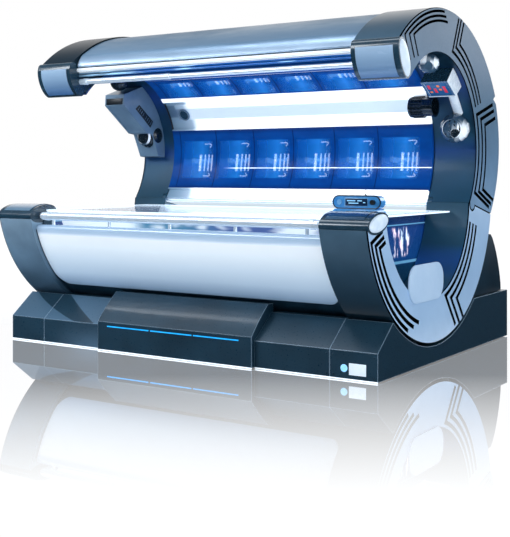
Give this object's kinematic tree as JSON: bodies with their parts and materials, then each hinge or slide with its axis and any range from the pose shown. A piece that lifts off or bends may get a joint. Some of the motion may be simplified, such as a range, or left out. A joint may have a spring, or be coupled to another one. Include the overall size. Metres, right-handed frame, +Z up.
{
  "type": "clamshell tanning bed",
  "caption": "Clamshell tanning bed: a flat clear lying sheet between C-shaped arches, with a hinged lamp canopy on a low plinth.",
  "frame": {"origin": "on the floor under the middle levelling foot, at the middle of the plinth's footprint", "axes": "+X along the bed to the right as seen from the front, +Y to the rear, +Z up"},
  "size_m": [2.334, 1.7338, 1.763],
  "materials": {
    "frame_steel": "satin",
    "foot_rubber": "matt",
    "plinth_paint": "satin",
    "status_light": "glowing",
    "arch_lacquer": "metallic lacquer",
    "silver_lower": "satin metallic lacquer",
    "silver_upper": "satin metallic lacquer",
    "cap_gloss": "high gloss",
    "cap_inlay": "high gloss",
    "lens_frost": "frosted",
    "fascia_white": "gloss",
    "bright_metal": "polished",
    "visor_silver": "brushed",
    "shell_grey": "satin",
    "ring_grey": "satin",
    "tray_white": "gloss",
    "reflector_metal": "mirror bright",
    "lamp_glass": "clear",
    "filter_blue": "tinted",
    "acrylic_clear": "clear",
    "black_plastic": "satin",
    "unit_teal": "gloss",
    "console_blue": "gloss",
    "control_dark": "gloss"
  },
  "bodies": {
    "bed": {"base_frame": "frame_steel", "levelling_feet": "foot_rubber", "plinth_ends": "plinth_paint", "plinth_front_panels": "plinth_paint", "plinth_centre_panel": "plinth_paint", "status_light_bar": "status_light", "plinth_rear_panel": "plinth_paint", "plinth_deck": "plinth_paint", "bench_end_rings": "ring_grey", "bench_end_panes": "filter_blue", "bench_belly": "ring_grey", "lower_arch_left": "arch_lacquer", "lower_arch_right": "arch_lacquer", "lower_faces": "silver_lower", "lower_caps": "cap_gloss", "lower_cap_lenses": "lens_frost", "lower_cap_inlays": "cap_inlay", "front_fascia": "fascia_white", "front_rail": "bright_metal", "bench_tub": "tray_white", "bench_reflectors": "reflector_metal", "bench_lamps": "lamp_glass", "bench_acrylic": "acrylic_clear", "oval_covers": "silver_lower", "rear_housing": "shell_grey", "ballasts": "frame_steel", "control_box": "frame_steel", "fan_frames": "frame_steel", "console_stand": "console_blue", "console_pod": "console_blue"},
    "canopy": {"upper_arch_left": "arch_lacquer", "upper_arch_right": "arch_lacquer", "upper_faces": "silver_upper", "upper_caps": "cap_gloss", "upper_cap_lenses": "lens_frost", "upper_cap_inlays": "cap_inlay", "canopy_end_rings": "ring_grey", "canopy_visor": "visor_silver", "canopy_trim": "bright_metal", "handle_rail": "bright_metal", "canopy_rear_shell": "shell_grey", "canopy_inner_tray": "tray_white", "canopy_cross_tubes": "frame_steel", "hinge_shaft": "bright_metal", "lamp_housings": "reflector_metal", "canopy_reflectors": "reflector_metal", "canopy_filters": "filter_blue", "canopy_lamps": "lamp_glass", "light_strip": "tray_white", "display_unit": "unit_teal", "comfort_unit": "unit_teal"},
    "fan_left": {"cooling_fan_left": "black_plastic"},
    "fan_right": {"cooling_fan_right": "black_plastic"},
    "knob": {"console_knob": "control_dark"},
    "button": {"console_button": "control_dark"},
    "speaker_left": {"speaker_ball_left": "black_plastic"},
    "speaker_right": {"speaker_ball_right": "black_plastic"},
    "air_left": {"air_ball_left": "black_plastic"},
    "air_right": {"air_ball_right": "black_plastic"},
    "nozzle": {"strip_nozzle": "black_plastic"}
  },
  "joints": [
    {"name": "canopy_hinge", "type": "hinge", "parent": "bed", "child": "canopy", "pos_m": [0, 0.29, 0.77], "axis": [1, 0, 0], "range_deg": [0, 30]},
    {"name": "fan_spin_left", "type": "hinge", "parent": "bed", "child": "fan_left", "pos_m": [-0.56, 0.797, 0.15], "axis": [0, 1, 0], "continuous": true},
    {"name": "fan_spin_right", "type": "hinge", "parent": "bed", "child": "fan_right", "pos_m": [0.56, 0.797, 0.15], "axis": [0, 1, 0], "continuous": true},
    {"name": "knob_turn", "type": "hinge", "parent": "bed", "child": "knob", "pos_m": [1.053, -0.676, 0.8], "axis": [0, 1, 0], "range_deg": [-150, 150]},
    {"name": "button_press", "type": "slide", "parent": "bed", "child": "button", "axis": [0, 1, 0], "range_m": [0, 0.002], "stiffness_N_per_m": 800, "springref_m": -0.002},
    {"name": "speaker_swivel_left", "type": "hinge", "parent": "canopy", "child": "speaker_left", "pos_m": [-1.05, 0.28662, 1.17516], "axis": [1, 0, 0], "range_deg": [-20, 20]},
    {"name": "speaker_swivel_right", "type": "hinge", "parent": "canopy", "child": "speaker_right", "pos_m": [1.05, 0.28662, 1.17516], "axis": [1, 0, 0], "range_deg": [-20, 20]},
    {"name": "air_swivel_left", "type": "hinge", "parent": "canopy", "child": "air_left", "pos_m": [-1.04, -0.02893, 1.49843], "axis": [1, 0, 0], "range_deg": [-25, 25]},
    {"name": "air_swivel_right", "type": "hinge", "parent": "canopy", "child": "air_right", "pos_m": [1.04, -0.02893, 1.49843], "axis": [1, 0, 0], "range_deg": [-25, 25]},
    {"name": "nozzle_swivel", "type": "hinge", "parent": "canopy", "child": "nozzle", "pos_m": [0.9, 0.22748, 1.29137], "axis": [1, 0, 0], "range_deg": [-30, 30]}
  ]
}
